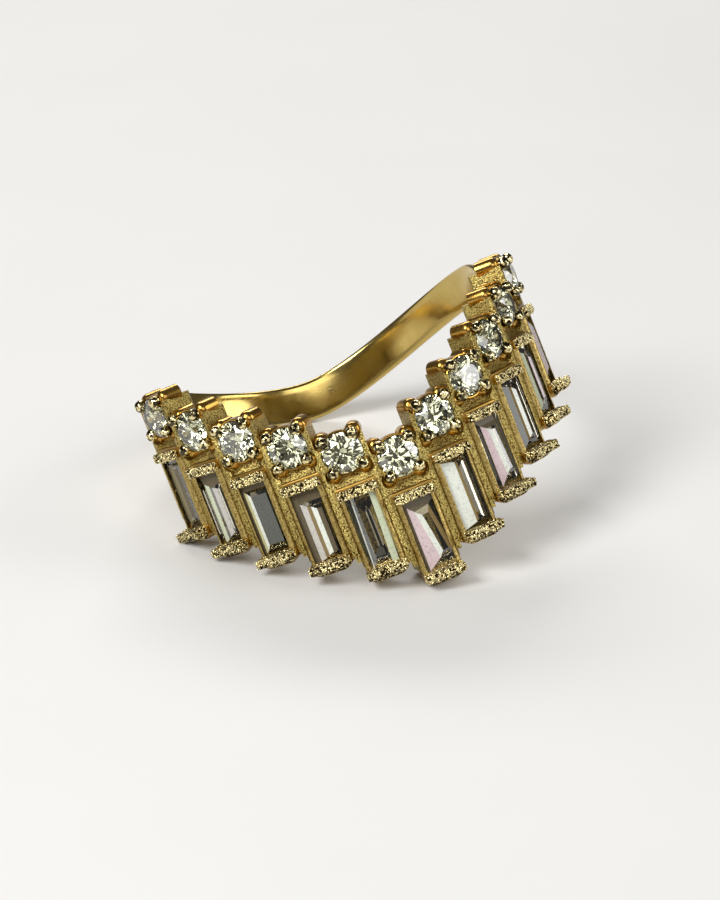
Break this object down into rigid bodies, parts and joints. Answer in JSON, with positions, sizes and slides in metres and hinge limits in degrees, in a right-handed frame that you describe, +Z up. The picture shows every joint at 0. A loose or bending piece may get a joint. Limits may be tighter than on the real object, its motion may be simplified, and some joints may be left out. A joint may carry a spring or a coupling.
{
  "type": "diamond set finger ring",
  "caption": "Finger ring whose front dips to a V, with a row of beaded round stones over a row of baguettes between bars, and a plain shank. It leans on the floor as it rests.",
  "frame": {"origin": "on the floor, under the middle of the ring's box as it rests", "axes": "+Z up from the floor. The V's point faces -Y, and the finger hole's axis leans from +Z towards +X and -Y, because the ring rests on the foot under the V's point, the foot at the head's left end and the back of the shank."},
  "size_m": [0.0219, 0.0227, 0.0125],
  "materials": {
    "gold": "yellow gold, matte walls with polished beads and shank",
    "diamond": "polished clear stone"
  },
  "bodies": {
    "root": {"gold_setting": "gold", "round_diamond_1": "diamond", "round_diamond_2": "diamond", "round_diamond_3": "diamond", "round_diamond_4": "diamond", "round_diamond_5": "diamond", "round_diamond_6": "diamond", "round_diamond_7": "diamond", "round_diamond_8": "diamond", "round_diamond_9": "diamond", "round_diamond_10": "diamond", "round_diamond_11": "diamond", "baguette_diamond_1": "diamond", "baguette_diamond_2": "diamond", "baguette_diamond_3": "diamond", "baguette_diamond_4": "diamond", "baguette_diamond_5": "diamond", "baguette_diamond_6": "diamond", "baguette_diamond_7": "diamond", "baguette_diamond_8": "diamond", "baguette_diamond_9": "diamond", "baguette_diamond_10": "diamond", "baguette_diamond_11": "diamond"}
  },
  "joints": []
}
